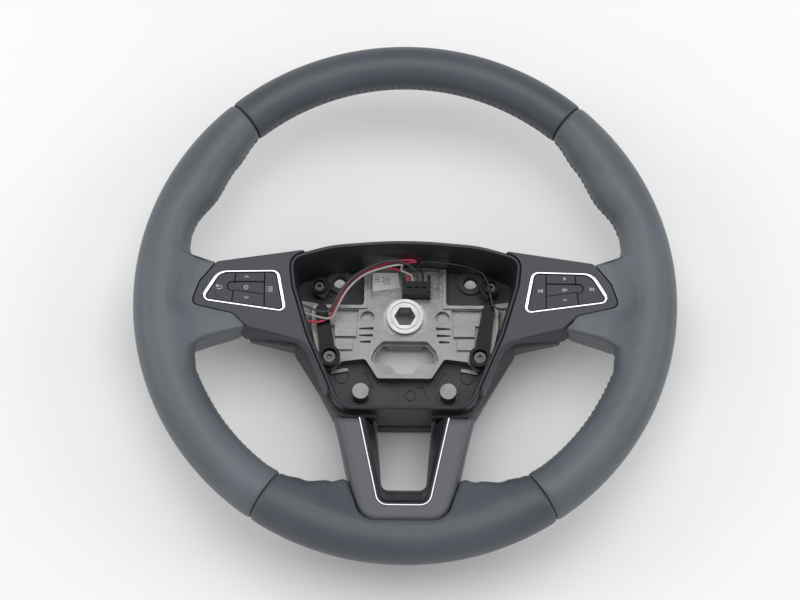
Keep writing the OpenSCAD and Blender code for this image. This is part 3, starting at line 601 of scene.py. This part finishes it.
def wrap(name, hide_finish, start, end, pocket=None, pocket_top=None, foot=None):
    """One hide from start to end degrees, with its pocket and the foot under it cut out."""
    skin = bmesh.new()
    start, end = start + SEAM, end - SEAM
    first_out, last_out = tube(skin, PLAIN_HALF, AROUND, start, end,
                               round((end - start) / STEP))
    hide = set(skin.verts)
    first_in, last_in = tube(skin, TUBE, INNER_AROUND, start + INNER_SHORT, end - INNER_SHORT,
                             round((end - start) / INNER_STEP))
    for v in hide:
        a = math.degrees(math.atan2(v.co.y, v.co.x)) % 360
        if a > end + 1 and start < 0:
            a -= 360
        f = math.atan2(v.co.z - RIM_Z, math.hypot(v.co.x, v.co.y) - HOOP / 1000)
        to_end = max(0.0, min(a - start, end - a))
        squeeze = to_end * (1 - CROWDING * math.exp(-to_end / CROWD_RUN))
        a = start + squeeze if a - start < end - a else end - squeeze
        shrink = 1 - TUCK * math.exp(-squeeze / TUCK_RUN)
        v.co = grip_point(a, f, shrink)
        if pocket and v.co.z > RIM_Z:
            near = outline_distance(v.co.x * 1000, v.co.y * 1000, pocket)
            if pocket_top and v.co.z > POCKET_Z:
                v.co.z = mix(v.co.z, POCKET_Z, SETTLE * ease(1 - near / SETTLE_RUN))
            rise = min(1.0, (v.co.z - RIM_Z) / DIP_RISE)
            v.co.z -= DIP * max(0.0, 1 - near / DIP_RUN) ** 2 * rise
    bmesh.ops.bridge_loops(skin, edges=first_out + first_in)
    bmesh.ops.bridge_loops(skin, edges=last_out + last_in)
    bmesh.ops.recalc_face_normals(skin, faces=skin.faces)
    mesh = bpy.data.meshes.new(name)
    skin.to_mesh(mesh)
    skin.free()
    piece = bpy.data.objects.new(name, mesh)
    bpy.context.collection.objects.link(piece)
    blocks = []
    if pocket:
        block_top = POCKET_TOP_Z if pocket_top else OPEN_TOP_Z
        blocks.append(cutter(pocket, PART_Z - 0.3, block_top, pocket_top))
    if foot:
        blocks.append(cutter(foot, -10, PART_Z - 0.2))
    for block in blocks:
        cut = piece.modifiers.new("cut", "BOOLEAN")
        cut.operation = "DIFFERENCE"
        cut.solver = "EXACT"
        cut.object = block
    if blocks:
        graph = bpy.context.evaluated_depsgraph_get()
        done = bpy.data.meshes.new_from_object(piece.evaluated_get(graph))
        piece.modifiers.clear()
        piece.data = done
        for block in blocks:
            bpy.data.objects.remove(block)
    finished = piece.data
    bpy.data.objects.remove(piece)
    smooth(finished)
    piece = link(name, finished, hide_finish)
    if blocks:
        finished.set_sharp_from_angle(angle=HIDE_EDGE)
    print(name, "faces:", len(finished.polygons))
    return piece


# %% The four wraps
UPPER_SEAM, LOWER_SEAM = 49.5, 56
top = wrap("leather_top_hide", leather, UPPER_SEAM, 180 - UPPER_SEAM)
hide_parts("leather_top")
grip_right = wrap("leather_right_hide", grip_leather, -LOWER_SEAM, UPPER_SEAM,
                  side_outline, side_top)
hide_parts("leather_right")
grip_left = wrap("leather_left_hide", grip_leather, 180 - UPPER_SEAM, 180 + LOWER_SEAM,
                 left_outline, left_top)
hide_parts("leather_left")
bottom = wrap("leather_bottom_hide", leather, 180 + LOWER_SEAM, 360 - LOWER_SEAM,
              pocket=lower_outline, foot=outline(LOWER_BASE, LOWER_BASE_R, GAP))
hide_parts("leather_bottom")

# %% [markdown]
# ## Stitches
# The hide is closed along the inner edge of the rim by hand, with a thick thread that
# crosses the seam nearly every five millimetres. One bead is shaped from a small sphere and
# repeated along the seam.

# %% Stitches along the inner edge
thread_finish = grained("thread", (0.030, 0.032, 0.036), (0.045, 0.048, 0.052),
                        0.6, 2500, 0.00003)
SEAM_RADIUS = 150
STITCH_PITCH = 4.6
BEAD = (0.00045, 0.00055, 0.0019)
BEAD_LEAN = math.radians(24)
PROUD = 0.0001


def stitches(name, spans):
    bead = bmesh.new()
    count = 0
    for start, end in spans:
        number = round((end - start) * math.radians(1) * SEAM_RADIUS / STITCH_PITCH)
        for i in range(number + 1):
            a = start + (end - start) * i / number
            here = grip_point(a, math.pi)
            inward = -Vector((here.x, here.y, 0)).normalized()
            made = bmesh.ops.create_uvsphere(bead, u_segments=8, v_segments=6,
                                             radius=1)["verts"]
            bmesh.ops.scale(bead, verts=made, vec=BEAD)
            lean = Matrix.Rotation(BEAD_LEAN, 3, "X")
            spin = Matrix.Rotation(math.atan2(inward.y, inward.x), 3, "Z")
            bmesh.ops.rotate(bead, verts=made, cent=(0, 0, 0), matrix=spin @ lean)
            bmesh.ops.translate(bead, verts=made, vec=here + inward * PROUD)
            count += 1
    mesh = bpy.data.meshes.new(name)
    bead.to_mesh(mesh)
    bead.free()
    smooth(mesh)
    print(name, "stitches:", count)
    return link(name, mesh, thread_finish)


stitches("stitches_right", [(-54.5, -21), (19, 48)])
stitches("stitches_left", [(132, 161), (201, 234.5)])
stitches("stitches_top", [(51, 129)])
stitches("stitches_bottom", [(237.5, 250), (290, 302.5)])

# %% [markdown]
# ## Marks on the keys
# The keys carry pale printed marks: arrows, a list, plus and minus. Each is cut from flat
# strips a few hundredths of a millimetre thick, and rides on its own key.

# %% Key marks
mark_white = grained("mark_print", (0.50, 0.51, 0.52), (0.58, 0.59, 0.60),
                     0.5, 1500, 0.00001)
KEY_TOP = 60.1
MIDDLE_LOWER = 0.7
PRINT = 0.08


def strip(skin, p, q, width, z):
    """Flat strip from p to q, in millimetres."""
    p, q = Vector(p), Vector(q)
    bar = bmesh.ops.create_cube(skin, size=1)["verts"]
    bmesh.ops.scale(skin, verts=bar, vec=((q - p).length + width * 0.3, width, PRINT))
    angle = math.atan2(q.y - p.y, q.x - p.x)
    bmesh.ops.rotate(skin, verts=bar, cent=(0, 0, 0), matrix=Matrix.Rotation(angle, 3, "Z"))
    middle = (p + q) / 2
    bmesh.ops.translate(skin, verts=bar, vec=(middle.x, middle.y, z))


def mark(node, strokes, centre, lowered=0.0, width=0.42):
    """Mark from strokes about centre, in millimetres, on a key that it rides with."""
    skin = bmesh.new()
    for stroke in strokes:
        path = [Vector(p) + Vector(centre) for p in stroke]
        for p, q in zip(path, path[1:]):
            strip(skin, p, q, width, KEY_TOP - lowered)
    bmesh.ops.scale(skin, verts=skin.verts, vec=(0.001, 0.001, 0.001))
    mesh = bpy.data.meshes.new(node + "_mark")
    skin.to_mesh(mesh)
    skin.free()
    link(node + "_mark", mesh, mark_white, node)


def arc(x, y, r, start, end, steps=8):
    return [(x + r * math.cos(math.radians(mix(start, end, i / steps))),
             y + r * math.sin(math.radians(mix(start, end, i / steps)))) for i in range(steps + 1)]


# %% Strokes of the marks, in millimetres
MINUS = [[(-1.1, 0), (1.1, 0)]]
PLUS = MINUS + [[(0, -1.1), (0, 1.1)]]
UP = [[(-1.3, -0.6), (0, 0.6), (1.3, -0.6)]]
DOWN = [[(-1.3, 0.6), (0, -0.6), (1.3, 0.6)]]
BACK = [[(-2.2, 0.9), (0.6, 0.9)] + arc(0.6, -0.2, 1.1, 90, -90) + [(-1.4, -1.3)],
        [(-1.2, 1.9), (-2.3, 0.9), (-1.2, -0.1)]]
ROWS = (1.5, 0, -1.5)
LIST = [[(-0.8, y), (2.2, y)] for y in ROWS] + [[(-2.2, y), (-1.7, y)] for y in ROWS]
SELECT = [arc(0, 0, 1.3, 0, 360, 14), [(-0.2, 0), (0.2, 0)]]
SKIP_BACK = [[(-1.6, -1.1), (-1.6, 1.1)],
             [(0.9, 1.1), (-1.0, 0), (0.9, -1.1), (0.9, 1.1)]]
SKIP_ON = [[(-q[0], q[1]) for q in stroke] for stroke in SKIP_BACK]
WAVES = [[(x, -y), (x, y)] for x, y in ((-1.6, 0.5), (-0.6, 1.1), (0.5, 0.8), (1.5, 0.4))]
print("strokes of the list:", len(LIST))

# %% Print the marks
mark("key_left_outer", BACK, (-126.3, 7.4))
mark("key_left_up", UP, (-108, 14.9))
mark("key_left_middle", SELECT, (-108.2, 7.5), MIDDLE_LOWER)
mark("key_left_down", DOWN, (-107.8, 0))
mark("key_left_inner", LIST, (-92.3, 6.1))
mark("key_right_inner", SKIP_BACK, (92.3, 6.2))
mark("key_right_up", PLUS, (108.2, 15.1))
mark("key_right_middle", WAVES, (108.4, 7.3), MIDDLE_LOWER)
mark("key_right_down", MINUS, (108.4, -0.1))
mark("key_right_outer", SKIP_ON, (126.4, 7.7))
print("marks made:", 2 * len(KEYS))

# %% [markdown]
# ## Marks on the label
# A paper label is stuck on the casting. The real one carries a code, so this one gets a plain
# chequer and three lines in its place, which say nothing. They are strips of ink like the
# marks on the keys, and they lie on the paper's top face.

# %% Bare marks on the label
LABEL_TOP = max(v.co.z for v in nodes["frame_sticker"].data.vertices)
INK_Z = LABEL_TOP * 1000 + 0.03
CHEQUER, PITCH, SQUARE = 4, 1.35, 0.9
LINES, LINE_PITCH, LINE_WIDTH = 3, 1.6, 0.35
label_ink = grained("label_ink", (0.05, 0.05, 0.05), (0.09, 0.09, 0.09),
                    0.6, 1500, 0.00001)
ink = bmesh.new()
for row in range(CHEQUER):
    y = 30.9 - PITCH * row
    for column in range(CHEQUER):
        if (row + column) % 2 == 0:
            x = PITCH * column
            strip(ink, (-15.4 + x, y), (-14.6 + x, y), SQUARE, INK_Z)
for row in range(LINES):
    y = 31.5 - LINE_PITCH * row
    strip(ink, (-20.8, y), (-17.6, y), LINE_WIDTH, INK_Z)
bmesh.ops.scale(ink, verts=ink.verts, vec=(0.001, 0.001, 0.001))
ink_mesh = bpy.data.meshes.new("label_marks")
ink.to_mesh(ink_mesh)
ink.free()
link("label_marks", ink_mesh, label_ink)
print("label marks at height", round(LABEL_TOP * 1000, 2))

# %% [markdown]
# ## Table and light
# The table is a wide pale sheet under the wheel. Light is plain and soft: one broad lamp
# overhead and one to each side, over an even white surround. The level is low enough that a
# colour looks about as it is written and the table doesn't clip.

# %% Table
FLOOR = cad_low.z
TABLE_HALF = 6
table_mesh = bpy.data.meshes.new("table")
sheet = bmesh.new()
bmesh.ops.create_grid(sheet, x_segments=2, y_segments=2, size=TABLE_HALF)
bmesh.ops.translate(sheet, verts=sheet.verts, vec=(0, 0, FLOOR - 0.0002))
sheet.to_mesh(table_mesh)
sheet.free()
table = bpy.data.objects.new("table", table_mesh)
bpy.context.collection.objects.link(table)
table_white = mottled("table_white", (0.82, 0.825, 0.805), (0.86, 0.865, 0.845),
                      3, 0.55, 0.05)[0]
table_mesh.materials.append(table_white)
print("table top at", round(FLOOR * 1000, 1), "mm")

# %% Lamps and surround
def lamp(name, position, size, power, target=(0, 0, 0.05)):
    """Square lamp that faces the wheel."""
    data = bpy.data.lights.new(name, "AREA")
    data.shape = "SQUARE"
    data.size = size
    data.energy = power
    made = bpy.data.objects.new(name, data)
    made.location = position
    made.rotation_mode = "QUATERNION"
    made.rotation_quaternion = (Vector(target) - Vector(position)).to_track_quat("-Z", "Y")
    bpy.context.collection.objects.link(made)


lamp("overhead", (0.1, 0.5, 3.2), 2.6, 42)
lamp("window_left", (-3.5, 0.6, 2.5), 2.0, 26)
lamp("window_right", (3.5, 0.3, 2.5), 2.0, 26)
world = bpy.data.worlds.new("surround")
world.use_nodes = True
sky = world.node_tree.nodes["Background"]
sky.inputs["Color"].default_value = (0.96, 0.97, 1.0, 1)
sky.inputs["Strength"].default_value = 0.67
bpy.context.scene.world = world
bpy.context.scene.view_settings.view_transform = "Standard"
print("lamps:", len(bpy.data.lights))
